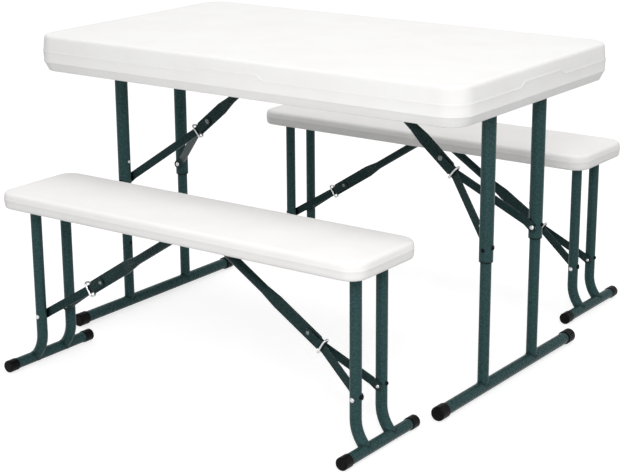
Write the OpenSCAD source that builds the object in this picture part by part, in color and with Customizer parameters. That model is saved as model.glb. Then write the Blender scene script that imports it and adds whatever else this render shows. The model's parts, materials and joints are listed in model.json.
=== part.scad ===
// Folding picnic set: a table with a deep moulded top and two free-standing benches.
// X runs along the table, Y across it, Z up. The origin is on the floor, at the middle of the set.

/* [Table top] */
// Length of the table top
top_l = 1194; // [1120:2:1260]
// Width of the table top
top_w = 690; // [640:2:740]
// Height of the table top above the floor
top_h = 740; // [730:1:760]
// Depth of the moulded skirt, from the top face to the lower rim
skirt_h = 87; // [84:1:95]
// Corner radius of the table top in plan
top_corner_r = 58; // [40:1:80]
// Thickness of the double-walled deck
deck_t = 22; // [16:1:24]
// Thickness of the double-walled skirt, at the tray's mouth
skirt_t = 24; // [18:1:26]
// How far the widest line of the wall lies below the top face
top_waist_drop = 41; // [34:1:50]
// How far the rounded top edge is drawn in
top_edge_in = 12; // [8:1:16]
// How far the lower rim is drawn in
top_rim_in = 13; // [6:1:16]

/* [Table legs] */
// Distance of the leg frame from the end of the top
leg_inset = 67.5; // [60:0.5:80]
// Distance between the two legs of a frame
leg_gap = 224; // [200:2:250]
// Outer diameter of the upper leg tube
leg_d = 32; // [30:0.5:33]
// Wall thickness of the steel tubes
tube_t = 1.5; // [1:0.1:1.8]
// Height of the lower end of the upper leg tube
leg_end_z = 313; // [295:1:325]
// Outer diameter of the telescoping lower tube
lower_d = 25.4; // [22:0.1:26]
// Length of lower tube that stays inside the upper one
lower_overlap = 107; // [95:1:120]
// Travel of the lower tube when it is pushed in for storage
lower_travel = 215; // [200:1:222]
// Outer diameter of the tube that the frame turns on
hinge_d = 25.4; // [22:0.1:26]
// Height of the brace's rivet on the leg
leg_pivot_z = 339; // [334:1:350]
// Height of the snap button on the leg
button_z = 390; // [380:1:395]
// Diameter of the snap button
button_d = 8; // [6:0.5:9]
// How far the snap button stands out of the tube
button_out = 3; // [2:0.5:4]
// Travel of the snap button
button_travel = 2.5; // [1.5:0.5:2.5]

/* [Table feet] */
// Overall length of a foot bar with its caps
foot_l = 614; // [580:2:624]
// Diameter of a foot bar
foot_d = 28; // [25:0.5:30]
// Diameter of a foot bar's end cap
foot_cap_d = 33; // [31:0.5:34]
// Length of a foot bar's end cap
foot_cap_l = 30; // [22:1:36]

/* [Table brace] */
// Distance of a stay's pin from the middle of the table
stay_pin_x = 102; // [94:1:110]
// Width of the two straps
strap_w = 20; // [18:0.5:21]
// Thickness of the two straps
strap_t = 3; // [2:0.5:3.5]
// Width of the stay's flattened end
stay_w = 30; // [26:0.5:31]
// Thickness of the stay's flattened end
stay_t = 4; // [3:0.2:6]
// Diameter of the stay's round tube
stay_d = 20.6; // [18:0.2:22]
// How far the stay reaches past the brace's middle rivet
stay_tip = 38; // [34:1:39]
// Length of the flattened end above the middle rivet
stay_flat = 57; // [50:1:80]
// Length of the swaged stretch between the flat and the round tube
stay_swage_l = 38; // [24:1:50]
// Distance of the lock ring from the middle rivet
ring_at = 45.5; // [45:0.5:50]
// Wire diameter of the lock ring
ring_wire = 5; // [3.5:0.1:5.2]
// Travel of the lock ring along the brace
ring_travel = 30; // [20:1:30]

/* [Benches] */
// Length of a bench seat
seat_l = 995; // [960:1:1040]
// Width of a bench seat
seat_w = 238; // [228:1:260]
// Height of a bench seat above the floor
seat_h = 430; // [428:1:440]
// Depth of the seat's moulded skirt
seat_skirt_h = 38.5; // [38:0.5:42]
// Corner radius of a bench seat in plan
seat_corner_r = 42; // [34:1:50]
// Thickness of the seat's double-walled deck
seat_deck_t = 10; // [9.5:0.5:13]
// Thickness of the seat's double-walled skirt
seat_skirt_t = 13; // [10:0.5:16]
// How far the front bench is moved along the table
front_shift_x = 33; // [-40:1:40]
// How far the rear bench is moved along the table
rear_shift_x = -10; // [-40:1:40]
// Distance of the front bench from the middle of the table
front_reach = 495; // [480:1:560]
// Distance of the rear bench from the middle of the table
rear_reach = 545; // [480:1:600]

/* [Bench legs] */
// Distance of the leg frame from the end of the seat
bench_leg_inset = 51; // [46:0.5:60]
// Distance between the two legs of a frame
bench_leg_gap = 95; // [90:1:110]
// Outer diameter of the leg tube
bench_leg_d = 25.4; // [22:0.1:25.4]
// Diameter of the tube that the frame turns on
bench_hinge_d = 19; // [16:0.5:22]
// Height of the brace's rivet on the leg
bench_pivot_z = 120.5; // [114:0.5:124]
// Bend angle near the foot of a leg
bench_bend = 36; // [30:1:36]
// Bend radius on the centre line of a leg
bench_bend_r = 80; // [70:1:100]
// Overall length of a foot bar with its caps
bench_foot_l = 277; // [260:1:300]
// Diameter of a foot bar's end cap
bench_cap_d = 28.6; // [27.5:0.1:29]
// Length of a foot bar's end cap
bench_cap_l = 26; // [20:1:32]

/* [Bench brace] */
// Distance of a stay's pin from the middle of the bench
bench_stay_pin_x = 11; // [10.5:0.1:14]
// Width of the two straps
bench_strap_w = 20; // [16:0.5:21]
// Thickness of the two straps
bench_strap_t = 2.5; // [2:0.5:3]
// Width of the stay's flattened end
bench_stay_w = 30; // [26:0.5:31]
// Thickness of the stay's flattened end
bench_stay_t = 4; // [3:0.2:6]
// Diameter of the stay's round tube
bench_stay_d = 20.6; // [18:0.2:22]
// How far the stay reaches past the brace's middle rivet
bench_stay_tip = 35; // [32:1:36]
// Length of the flattened end above the middle rivet
bench_stay_flat = 93; // [80:1:110]
// Length of the swaged stretch between the flat and the round tube
bench_stay_swage_l = 40; // [24:1:50]
// Distance of the lock ring from the middle rivet
bench_ring_at = 42.5; // [42:0.5:50]
// Wire diameter of the lock ring
bench_ring_wire = 5; // [3.5:0.1:5.2]
// Travel of the lock ring along the brace
bench_ring_travel = 28; // [20:1:30]

/* [Fits] */
// Radial clearance of a turning or sliding fit
run_fit = 0.08; // [0.04:0.01:0.1]
// Side clearance between moving pieces
side_gap = 0.3; // [0.2:0.05:0.5]
// Clearance under the deck when the table's legs are folded
fold_gap = 0.7; // [0.5:0.1:1.4]
// Clearance under the deck when a bench's legs are folded
bench_fold_gap = 0.5; // [0.4:0.1:1.4]
// Clearance between a folded bench's foot bar and its stays
bench_foot_gap = 3.3; // [2.6:0.1:4]

/* [Hidden] */
$fn = 48;
overlap = 0.01;
slab_t = 0.2;
swage = 0.6;
half_turn = 180;

// The set is centred between the outer ends of the benches' feet
table_y = (front_reach - rear_reach) / 2;
front_bench_y = table_y - front_reach;
rear_bench_y = table_y + rear_reach;

// Table heights and places
rim_z = top_h - skirt_h;
hinge_drop = max(leg_d / 2 + button_out, stay_w / 2 + side_gap + ring_wire) + fold_gap;
deck_z = top_h - deck_t;
hinge_z = deck_z - hinge_drop;
leg_x = top_l / 2 - leg_inset;
leg_y = leg_gap / 2;
foot_z = foot_cap_d / 2;
lower_top_z = leg_end_z + lower_overlap;

// Bench heights and places, measured from the middle of the bench
seat_rim_z = seat_h - seat_skirt_h;
bench_hinge_drop = max(bench_leg_d / 2, bench_stay_w / 2 + side_gap + bench_ring_wire) + bench_fold_gap;
bench_foot_out = bench_leg_d / 2 + bench_stay_d / 2 + bench_foot_gap;
seat_deck_z = seat_h - seat_deck_t;
bench_hinge_z = seat_deck_z - bench_hinge_drop;
bench_leg_x = seat_l / 2 - bench_leg_inset;
bench_leg_y = bench_leg_gap / 2;
bench_foot_z = bench_cap_d / 2;

// Each brace folds flat: the fork and the stay close like a knife when the leg has turned 90 degrees
function brace_length(drop, run) = sqrt(drop * drop + run * run);
function fork_length(drop, run) = (brace_length(drop, run) - run + drop) / 2;
function stay_length(drop, run) = brace_length(drop, run) - fork_length(drop, run);

brace_drop = hinge_z - leg_pivot_z;
brace_run = leg_x - stay_pin_x;
brace_rise = atan(brace_drop / brace_run);
fork_l = fork_length(brace_drop, brace_run);
stay_l = stay_length(brace_drop, brace_run);

bench_drop = bench_hinge_z - bench_pivot_z;
bench_run = bench_leg_x - bench_stay_pin_x;
bench_rise = atan(bench_drop / bench_run);
bench_fork_l = fork_length(bench_drop, bench_run);
bench_stay_l = stay_length(bench_drop, bench_run);

// Small shared sizes
saddle_w = 14;
saddle_wall = 5;
saddle_gap = 6;
flange_l = 68;
flange_t = 3.5;
screw_inset = 8;
screw_d = 4;
screw_head_d = 9;
screw_head_h = 2.4;
screw_bite = 8;
top_band_h = 15;
top_rim_h = 17;
seat_edge_h = 14;
rivet_d = 8;
pin_d = 6;
eye_r = 9;
ear_t = 3;
eye_margin = 11;
bracket_l = 2 * (eye_r + eye_margin + screw_inset);
bracket_w = 34;
rivet_head_h = 2.4;
seat_fit = 0.06;
bush_l = 22;
bumper_d = 10;
bumper_out = 4;
bench_saddle_w = 10;
bench_saddle_wall = 4;
bench_flange_l = 56;
bench_flange_t = 2.5;
bench_rivet_d = 6;
bench_eye_margin = 2.4;
bench_bracket_l = 2 * (bench_stay_pin_x + eye_r + bench_eye_margin + screw_inset);
head_gap = 1.7;
bench_bracket_w = 2 * (bench_stay_t / 2 + side_gap + ear_t + head_gap + screw_head_d / 2 + screw_inset);

green = "#33474a";
zinc = "#c9ccce";
black = "#1c1d1e";
white_plastic = "#e9e9e4";

// ---- shared shapes ----

// A thin rounded rectangle at height z, drawn in from the outline by inset
module slab(l, w, r, inset, z) {
  for (sx = [-1, 1], sy = [-1, 1])
    translate([sx * (l / 2 - r), sy * (w / 2 - r), z])
      cylinder(r = r - inset, h = slab_t);
}

// A round bar along Y, centred on its place
module bar_y(d, l) {
  rotate([90, 0, 0]) cylinder(d = d, h = l, center = true);
}

// Turns a shape drawn for the right end into the left one
module at_side(side) {
  if (side < 0) mirror([1, 0, 0]) children();
  else children();
}

// A low domed head, standing on its flat face
module dome(d, h) {
  sphere_r = (d * d / 4 + h * h) / (2 * h);
  intersection() {
    translate([0, 0, h - sphere_r]) sphere(r = sphere_r);
    cylinder(d = d, h = h);
  }
}

// Axes of a straight brace: x runs from the middle rivet to the leg, y across, z upward from the strap
module on_brace(leg_x, pivot_z, rise, length) {
  translate([leg_x, 0, pivot_z])
    rotate([0, rise, 0])
      translate([-length, 0, 0])
        children();
}

// One flat strap of the fork: a straight stretch at the rivet, a spread to the leg and a flat tab there
module strap(length, near_y, far_y, w, t, straight, hole_d) {
  tab = w * 0.9;
  difference() {
    intersection() {
      translate([0, 0, -w / 2])
        linear_extrude(height = w)
          polygon([
            [-w, near_y], [straight, near_y], [length - tab, far_y], [length + w, far_y],
            [length + w, far_y + t], [length - tab - t / 2, far_y + t], [straight - t / 4, near_y + t],
            [-w, near_y + t]
          ]);
      rotate([-90, 0, 0])
        linear_extrude(height = far_y + 2 * t)
          union() {
            translate([0, -w / 2]) square([length, w]);
            circle(d = w);
            translate([length, 0]) circle(d = w);
          }
    }
    for (x = [0, length])
      translate([x, 0, 0]) rotate([-90, 0, 0]) cylinder(d = hole_d + 2 * overlap, h = far_y + 3 * t);
  }
}

// The two straps of a fork, on the brace's axes
module fork(length, leg_y, leg_d, stay_t, w, t, straight, hole_d) {
  near_y = stay_t / 2 + side_gap;
  far_y = leg_y - leg_d / 2 - side_gap - t;
  for (s = [0, 1])
    mirror([0, s, 0]) strap(length, near_y, far_y, w, t, straight, hole_d);
}

// The fork's rivets: a turning rivet through the stay, and a headed stub in each strap's tab
module fork_rivets(length, leg_y, leg_d, stay_t, t, d) {
  outer = stay_t / 2 + side_gap + t;
  bar_y(d, 2 * outer);
  for (s = [0, 1])
    mirror([0, s, 0]) {
      translate([0, outer, 0]) rotate([-90, 0, 0]) dome(d * 1.5, rivet_head_h);
      translate([length, leg_y - leg_d / 2 - side_gap - t, 0]) rotate([90, 0, 0]) dome(d * 1.35, rivet_head_h);
      translate([length, leg_y - leg_d / 2 - side_gap - t / 2, 0]) bar_y(d, t);
    }
}

// The swaged stretch of a tube, from a flat end at flat_x to a round one at round_x
module flare(flat_x, round_x, w, t, d) {
  hull() {
    translate([flat_x, 0, 0]) cube([2 * overlap, t, w], center = true);
    translate([round_x, 0, 0]) rotate([0, 90, 0]) cylinder(d = d, h = 2 * overlap, center = true, $fn = 32);
  }
}

// The stay: a round tube, flattened to an eye at the deck and to a wide blade at the middle rivet
module stay(length, tip, flat, swage_l, w, t, d, pin, rivet) {
  blade_end = -flat;
  round_end = blade_end - swage_l;
  eye_x = -length;
  difference() {
    union() {
      rotate([90, 0, 0])
        linear_extrude(height = t, center = true)
          polygon([
            [blade_end, -w / 2], [tip, -w / 2], [tip, w / 2 - tip * 0.12],
            [tip - tip * 0.2, w / 2], [blade_end, w / 2]
          ]);
      flare(blade_end + swage, round_end, w + swage, t + swage / 2, d + swage);
      translate([eye_x + 2 * d - swage, 0, 0])
        rotate([0, 90, 0])
          cylinder(d = d, h = round_end - 2 * d - eye_x + 2 * swage);
      flare(eye_x + d * 0.9 - swage, eye_x + 2 * d, 2 * eye_r + swage, t + swage / 2, d + swage);
      translate([eye_x, 0, 0]) {
        bar_y(2 * eye_r, t);
        translate([d * 0.45, 0, 0]) cube([d * 0.9, t, 2 * eye_r], center = true);
      }
    }
    bar_y(rivet + 2 * run_fit, 2 * t);
    translate([eye_x, 0, 0]) bar_y(pin + 2 * run_fit, 2 * t);
  }
}

// The lock ring: a bent wire that hugs both straps, open underneath where the stay folds in
module lock_ring(stay_t, strap_t, stay_w, wire) {
  corner_r = wire / 2 + strap_t + side_gap;
  half_y = stay_t / 2 + side_gap + corner_r;
  half_w = stay_w / 2 + side_gap + wire / 2;
  translate([0, 0, half_w])
    bar_y(wire, 2 * (half_y - corner_r));
  for (s = [0, 1])
    mirror([0, s, 0]) {
      translate([0, half_y, -half_w + corner_r]) cylinder(d = wire, h = 2 * (half_w - corner_r));
      for (up = [0, 1])
        mirror([0, 0, up])
          translate([0, half_y - corner_r, -half_w + corner_r])
            rotate([0, 90, 0])
              rotate_extrude(angle = 90)
                translate([corner_r, 0]) circle(d = wire);
    }
}

// A saddle that holds a hinge tube under the deck: a flange, a block and a round lower side
module saddle(tube_d, wall, drop, width, flange_len, flange_thick) {
  difference() {
    union() {
      bar_y(tube_d + 2 * wall, width);
      translate([-tube_d / 2 - wall, -width / 2, 0]) cube([tube_d + 2 * wall, width, drop]);
      translate([-flange_len / 2, -width / 2, drop - flange_thick]) cube([flange_len, width, flange_thick]);
    }
    bar_y(tube_d + 2 * run_fit, 2 * width);
    for (s = [-1, 1])
      translate([s * (flange_len / 2 - screw_inset), 0, 0]) cylinder(d = screw_d, h = 2 * drop);
  }
}

// A screw driven up into the deck, its head under a plate of the given thickness at z = 0
module deck_screw(plate_t) {
  translate([0, 0, -plate_t]) cylinder(d = screw_d - 2 * overlap, h = plate_t + screw_bite);
  translate([0, 0, -plate_t]) mirror([0, 0, 1]) dome(screw_head_d, screw_head_h);
}

// A foot bar's moulded end cap: a sleeve over the bar with a rounded end, drawn for the +Y end
module foot_cap(bar_d, cap_d, cap_l, half_l) {
  edge_r = cap_d * 0.12;
  difference() {
    translate([0, half_l, 0])
      rotate([90, 0, 0])
        rotate_extrude()
          union() {
            square([cap_d / 2 - edge_r, cap_l]);
            translate([0, edge_r]) square([cap_d / 2, cap_l - edge_r]);
            translate([cap_d / 2 - edge_r, edge_r]) circle(r = edge_r);
          }
    translate([0, half_l - cap_l - 1, 0])
      rotate([-90, 0, 0]) cylinder(d = bar_d, h = cap_l + 1 - edge_r);
  }
}

// ---- table ----

// The one-piece moulded top: a rounded deck with a deep skirt and an open tray underneath
module tabletop() {
  r = top_corner_r;
  color(white_plastic)
    translate([0, table_y, 0])
      difference() {
        hull() {
          slab(top_l, top_w, r, top_edge_in, top_h - slab_t);
          slab(top_l, top_w, r, top_edge_in * 0.69, top_h - 1.5);
          slab(top_l, top_w, r, top_edge_in * 0.48, top_h - 5);
          slab(top_l, top_w, r, 0, top_h - top_waist_drop);
          slab(top_l, top_w, r, 0.3, top_h - top_waist_drop - top_band_h);
          slab(top_l, top_w, r, top_rim_in * 0.35, rim_z + top_rim_h);
          slab(top_l, top_w, r, top_rim_in, rim_z);
        }
        hull() {
          slab(top_l, top_w, r, skirt_t, rim_z - 1);
          slab(top_l, top_w, r, skirt_t + 4, deck_z - slab_t);
        }
      }
}

module table_hinge_saddles() {
  color(green)
    translate([0, table_y, 0])
      for (side = [-1, 1], sy = [-1, 1])
        translate([side * leg_x, sy * saddle_y(leg_y, leg_d, saddle_w), hinge_z])
          saddle(hinge_d, saddle_wall, hinge_drop, saddle_w, flange_l, flange_t);
}

function saddle_y(leg_y, leg_d, width) = leg_y + leg_d / 2 + saddle_gap + width / 2;

module table_screws() {
  color(zinc)
    translate([0, table_y, 0])
      for (side = [-1, 1], sy = [-1, 1], s = [-1, 1]) {
        translate([side * leg_x + s * (flange_l / 2 - screw_inset), sy * saddle_y(leg_y, leg_d, saddle_w), deck_z])
          deck_screw(flange_t);
        translate([side * stay_pin_x + s * (bracket_l / 2 - screw_inset), sy * (bracket_w / 2 - screw_inset), deck_z])
          deck_screw(ear_t);
      }
}

// A folded plate with two ears, between which the stay's eye turns
module stay_bracket(drop, length, width, thickness, pins, pin_hole) {
  ear_y = thickness / 2 + side_gap;
  difference() {
    union() {
      translate([-length / 2, -width / 2, drop - ear_t]) cube([length, width, ear_t]);
      for (x = pins, s = [0, 1])
        mirror([0, s, 0])
          translate([x, ear_y + ear_t / 2, 0]) {
            bar_y(2 * eye_r, ear_t);
            translate([-eye_r, -ear_t / 2, 0]) cube([2 * eye_r, ear_t, drop - ear_t / 2]);
          }
    }
    for (x = pins)
      translate([x, 0, 0]) bar_y(pin_hole + 2 * overlap, 2 * width);
    for (sx = [-1, 1], sy = [-1, 1])
      translate([sx * (length / 2 - screw_inset), sy * (width / 2 - screw_inset), 0])
        cylinder(d = screw_d, h = 2 * drop);
  }
}

// The riveted pin of a stay bracket
module stay_pin(thickness, d) {
  outer = thickness / 2 + side_gap + ear_t;
  bar_y(d, 2 * outer);
  for (s = [0, 1])
    mirror([0, s, 0]) translate([0, outer, 0]) rotate([-90, 0, 0]) dome(d * 1.7, d * 0.35);
}

module table_stay_brackets() {
  color(green)
    for (side = [-1, 1])
      translate([side * stay_pin_x, table_y, hinge_z])
        stay_bracket(hinge_drop, bracket_l, bracket_w, stay_t, [0], pin_d);
}

module table_stay_pins() {
  color(zinc)
    for (side = [-1, 1])
      translate([side * stay_pin_x, table_y, hinge_z]) stay_pin(stay_t, pin_d);
}

// The upper leg frame: two tubes that hang from the tube they turn on
module leg_frame(side) {
  hinge_l = 2 * (saddle_y(leg_y, leg_d, saddle_w) + saddle_w / 2 + 2);
  cap_up = hinge_d / 2 - 4;
  color(green)
    translate([0, table_y, 0])
      at_side(side)
        difference() {
          union() {
            translate([leg_x, 0, hinge_z]) bar_y(hinge_d, hinge_l);
            for (sy = [-1, 1])
              translate([leg_x, sy * leg_y, leg_end_z]) cylinder(d = leg_d, h = hinge_z + cap_up - leg_end_z);
          }
          for (sy = [-1, 1])
            translate([leg_x, sy * leg_y, leg_end_z - 1])
              cylinder(d = leg_d - 2 * tube_t, h = hinge_z - hinge_d / 2 - leg_end_z);
          translate([leg_x, 0, hinge_z]) bar_y(hinge_d - 2 * tube_t, hinge_l + 1);
          for (sy = [-1, 1])
            translate([leg_x, sy * leg_y, button_z])
              rotate([0, -90, 0]) cylinder(d = button_d + 2 * run_fit, h = leg_d);
        }
}

// Moulded guide rings at the mouth of each upper tube
module leg_bushes(side) {
  color(black)
    translate([0, table_y, 0])
      at_side(side)
        for (sy = [-1, 1])
          translate([leg_x, sy * leg_y, leg_end_z - 2])
            difference() {
              union() {
                cylinder(d = leg_d - 2 * tube_t - 2 * overlap, h = bush_l);
                cylinder(d = leg_d, h = 2 - overlap);
              }
              translate([0, 0, -1]) cylinder(d = lower_d + 2 * run_fit, h = bush_l + 2);
            }
}

// Moulded bumpers on the outboard side of the legs, and the dark rivet heads of the brace's pivots
module leg_bumpers(side) {
  color(black)
    translate([0, table_y, 0])
      at_side(side)
        for (s = [0, 1])
          mirror([0, s, 0]) {
            bumper(leg_x, leg_y, leg_pivot_z + 5, leg_d);
            leg_rivet_head(leg_x, leg_y, leg_pivot_z, leg_d, rivet_d);
          }
}

// A rivet head on the outer face of a tube, drawn for the +Y leg
module leg_rivet_head(x, y, z, tube_d, d) {
  seat = tube_d * 0.05;
  difference() {
    translate([x, y + tube_d / 2 - seat, z]) rotate([-90, 0, 0]) dome(d * 1.4, rivet_head_h + seat);
    translate([x, y, z - 2 * d]) cylinder(d = tube_d + 2 * seat_fit, h = 4 * d);
  }
}

// A round bumper that sits on the outer side of a tube
module bumper(x, y, z, tube_d) {
  difference() {
    translate([x + tube_d / 2 - 1, y, z]) rotate([0, 90, 0]) dome(bumper_d, bumper_out + 1);
    translate([x, y, z - bumper_d]) cylinder(d = tube_d + 2 * seat_fit, h = 2 * bumper_d);
  }
}

// The telescoping T-foot: two lower tubes on a foot bar
module foot(side) {
  bar_l = foot_l - 2 * foot_cap_l * 0.3;
  color(green)
    translate([0, table_y, 0])
      at_side(side)
        difference() {
          union() {
            translate([leg_x, 0, foot_z]) bar_y(foot_d, bar_l);
            for (sy = [-1, 1])
              translate([leg_x, sy * leg_y, foot_z]) cylinder(d = lower_d, h = lower_top_z - foot_z);
          }
          translate([leg_x, 0, foot_z]) bar_y(foot_d - 2 * tube_t, bar_l + 1);
          for (sy = [-1, 1])
            translate([leg_x, sy * leg_y, foot_z + foot_d / 2 + tube_t])
              cylinder(d = lower_d - 2 * tube_t, h = lower_top_z - foot_z);
          for (sy = [-1, 1], down = [0, lower_travel])
            translate([leg_x, sy * leg_y, button_z - down])
              rotate([0, -90, 0]) cylinder(d = button_d + 1, h = lower_d);
        }
}

module foot_caps(side) {
  color(black)
    translate([0, table_y, 0])
      at_side(side)
        for (s = [0, 1])
          mirror([0, s, 0])
            translate([leg_x, 0, foot_z]) foot_cap(foot_d, foot_cap_d, foot_cap_l, foot_l / 2);
}

// A sprung button in the inner side of the upper tube
module snap_button(side, front) {
  stem_in = leg_d / 2 - tube_t + side_gap / 2;
  stem_out = leg_d / 2 + button_out - button_d * 0.25;
  color(zinc)
    translate([0, table_y, 0])
      at_side(side)
        translate([leg_x, front * leg_y, button_z])
          rotate([0, -90, 0])
            translate([0, 0, stem_in]) {
              cylinder(d = button_d, h = stem_out - stem_in);
              translate([0, 0, stem_out - stem_in]) dome(button_d, button_d * 0.25);
            }
}

module on_table_brace(side) {
  translate([0, table_y, 0])
    at_side(side)
      on_brace(leg_x, leg_pivot_z, brace_rise, fork_l)
        children();
}

module table_fork(side) {
  color(green)
    on_table_brace(side)
      fork(fork_l, leg_y, leg_d, stay_t, strap_w, strap_t, ring_at + ring_wire, rivet_d);
}

module table_fork_rivets(side) {
  color(zinc) on_table_brace(side) fork_rivets(fork_l, leg_y, leg_d, stay_t, strap_t, rivet_d);
}

module table_stay(side) {
  color(green)
    on_table_brace(side)
      stay(stay_l, stay_tip, stay_flat, stay_swage_l, stay_w, stay_t, stay_d, pin_d, rivet_d);
}

module table_lock_ring(side) {
  color(zinc)
    on_table_brace(side)
      translate([ring_at, 0, 0]) lock_ring(stay_t, strap_t, stay_w, ring_wire);
}

// ---- benches ----

// Places a bench shape in the set: front is -1 for the front bench and 1 for the rear one
module at_bench(front) {
  place = front < 0 ? [front_shift_x, front_bench_y, 0] : [rear_shift_x, rear_bench_y, 0];
  translate(place) children();
}

// The moulded seat: a rounded deck with a shallow skirt
module bench_seat(front) {
  r = seat_corner_r;
  color(white_plastic)
    at_bench(front)
      difference() {
        hull() {
          slab(seat_l, seat_w, r, 9, seat_h - slab_t);
          slab(seat_l, seat_w, r, 4, seat_h - 2);
          slab(seat_l, seat_w, r, 1.3, seat_h - 6);
          slab(seat_l, seat_w, r, 0, seat_h - seat_edge_h);
          slab(seat_l, seat_w, r, 0, seat_rim_z + 7);
          slab(seat_l, seat_w, r, 1.4, seat_rim_z + 2.5);
          slab(seat_l, seat_w, r, 4, seat_rim_z);
        }
        hull() {
          slab(seat_l, seat_w, r, seat_skirt_t, seat_rim_z - 1);
          slab(seat_l, seat_w, r, seat_skirt_t + 1.5, seat_deck_z - slab_t);
        }
      }
}

module bench_hinge_saddles(front) {
  color(green)
    at_bench(front)
      for (side = [-1, 1], sy = [-1, 1])
        translate([side * bench_leg_x, sy * saddle_y(bench_leg_y, bench_leg_d, bench_saddle_w), bench_hinge_z])
          saddle(bench_hinge_d, bench_saddle_wall, bench_hinge_drop, bench_saddle_w, bench_flange_l, bench_flange_t);
}

module bench_screws(front) {
  saddle_x = bench_flange_l / 2 - screw_inset;
  color(zinc)
    at_bench(front)
      for (side = [-1, 1], sy = [-1, 1]) {
        for (s = [-1, 1])
          translate([side * bench_leg_x + s * saddle_x, sy * saddle_y(bench_leg_y, bench_leg_d, bench_saddle_w), seat_deck_z])
            deck_screw(bench_flange_t);
        translate([side * (bench_bracket_l / 2 - screw_inset), sy * (bench_bracket_w / 2 - screw_inset), seat_deck_z])
          deck_screw(ear_t);
      }
}

// One plate in the middle of the seat carries both stays, each on its own pin
module bench_stay_bracket(front) {
  pins = [-bench_stay_pin_x, bench_stay_pin_x];
  color(green)
    at_bench(front)
      translate([0, 0, bench_hinge_z]) {
        stay_bracket(bench_hinge_drop, bench_bracket_l, bench_bracket_w, bench_stay_t, pins, pin_d);
        for (x = pins)
          translate([x, 0, 0]) stay_pin(bench_stay_t, pin_d);
      }
}

// The centre line of a bent leg, as solid pieces of the given diameter, drawn for the right end
module bent_leg(d, top_z) {
  arc_out = bench_bend_r * (1 - cos(bench_bend));
  arc_down = bench_bend_r * sin(bench_bend);
  slope_l = (bench_foot_out - arc_out) / sin(bench_bend);
  bend_z = bench_foot_z + slope_l * cos(bench_bend) + arc_down;
  translate([0, 0, bend_z - overlap]) cylinder(d = d, h = top_z - bend_z + overlap);
  translate([bench_bend_r, 0, bend_z])
    rotate([90, 0, 0])
      rotate([0, 0, 180])
        rotate_extrude(angle = bench_bend)
          translate([bench_bend_r, 0]) circle(d = d);
  translate([bench_foot_out, 0, bench_foot_z])
    rotate([0, -bench_bend, 0])
      cylinder(d = d, h = slope_l + overlap);
}

// A bench's leg frame: two bent tubes between the foot bar and the tube they turn on
module bench_leg_frame(front, side) {
  hinge_l = 2 * (saddle_y(bench_leg_y, bench_leg_d, bench_saddle_w) + bench_saddle_w / 2 + 2);
  bar_l = bench_foot_l - 2 * bench_cap_l * 0.3;
  color(green)
    at_bench(front)
      at_side(side)
        difference() {
          union() {
            translate([bench_leg_x, 0, bench_hinge_z]) bar_y(bench_hinge_d, hinge_l);
            translate([bench_leg_x + bench_foot_out, 0, bench_foot_z]) bar_y(bench_leg_d, bar_l);
            for (sy = [-1, 1])
              translate([bench_leg_x, sy * bench_leg_y, 0])
                bent_leg(bench_leg_d, bench_hinge_z + bench_hinge_d / 2 - 2);
          }
          translate([bench_leg_x, 0, bench_hinge_z]) bar_y(bench_hinge_d - 2 * tube_t, hinge_l + 1);
          translate([bench_leg_x + bench_foot_out, 0, bench_foot_z]) bar_y(bench_leg_d - 2 * tube_t, bar_l + 1);
        }
}

// Black moulded pieces of a bench leg frame: the foot bar's caps and the bumpers
module bench_caps(front, side) {
  color(black)
    at_bench(front)
      at_side(side)
        for (s = [0, 1])
          mirror([0, s, 0]) {
            translate([bench_leg_x + bench_foot_out, 0, bench_foot_z])
              foot_cap(bench_leg_d, bench_cap_d, bench_cap_l, bench_foot_l / 2);
            bumper(bench_leg_x, bench_leg_y, bench_pivot_z + 5, bench_leg_d);
            leg_rivet_head(bench_leg_x, bench_leg_y, bench_pivot_z, bench_leg_d, bench_rivet_d);
          }
}

module on_bench_brace(front, side) {
  at_bench(front)
    at_side(side)
      on_brace(bench_leg_x, bench_pivot_z, bench_rise, bench_fork_l)
        children();
}

module bench_fork(front, side) {
  straight = bench_ring_at + bench_ring_wire;
  color(green)
    on_bench_brace(front, side)
      fork(bench_fork_l, bench_leg_y, bench_leg_d, bench_stay_t, bench_strap_w, bench_strap_t, straight, bench_rivet_d);
}

module bench_fork_rivets(front, side) {
  color(zinc)
    on_bench_brace(front, side)
      fork_rivets(bench_fork_l, bench_leg_y, bench_leg_d, bench_stay_t, bench_strap_t, bench_rivet_d);
}

module bench_stay(front, side) {
  color(green)
    on_bench_brace(front, side)
      stay(
        bench_stay_l, bench_stay_tip, bench_stay_flat, bench_stay_swage_l,
        bench_stay_w, bench_stay_t, bench_stay_d, pin_d, bench_rivet_d
      );
}

module bench_lock_ring(front, side) {
  color(zinc)
    on_bench_brace(front, side)
      translate([bench_ring_at, 0, 0]) lock_ring(bench_stay_t, bench_strap_t, bench_stay_w, bench_ring_wire);
}

tabletop();
table_hinge_saddles();
table_screws();
table_stay_brackets();
table_stay_pins();
leg_frame(-1);  // left_leg_frame
leg_bushes(-1);  // left_leg_bushes
leg_bumpers(-1);  // left_leg_bumpers
foot(-1);  // left_foot
foot_caps(-1);  // left_foot_caps
snap_button(-1, -1);  // left_front_snap_button
snap_button(-1, 1);  // left_rear_snap_button
table_fork(-1);  // left_fork
table_fork_rivets(-1);  // left_fork_rivets
table_stay(-1);  // left_stay
table_lock_ring(-1);  // left_lock_ring
leg_frame(1);  // right_leg_frame
leg_bushes(1);  // right_leg_bushes
leg_bumpers(1);  // right_leg_bumpers
foot(1);  // right_foot
foot_caps(1);  // right_foot_caps
snap_button(1, -1);  // right_front_snap_button
snap_button(1, 1);  // right_rear_snap_button
table_fork(1);  // right_fork
table_fork_rivets(1);  // right_fork_rivets
table_stay(1);  // right_stay
table_lock_ring(1);  // right_lock_ring
bench_seat(-1);  // front_bench_seat
bench_hinge_saddles(-1);  // front_bench_hinge_saddles
bench_screws(-1);  // front_bench_screws
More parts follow.
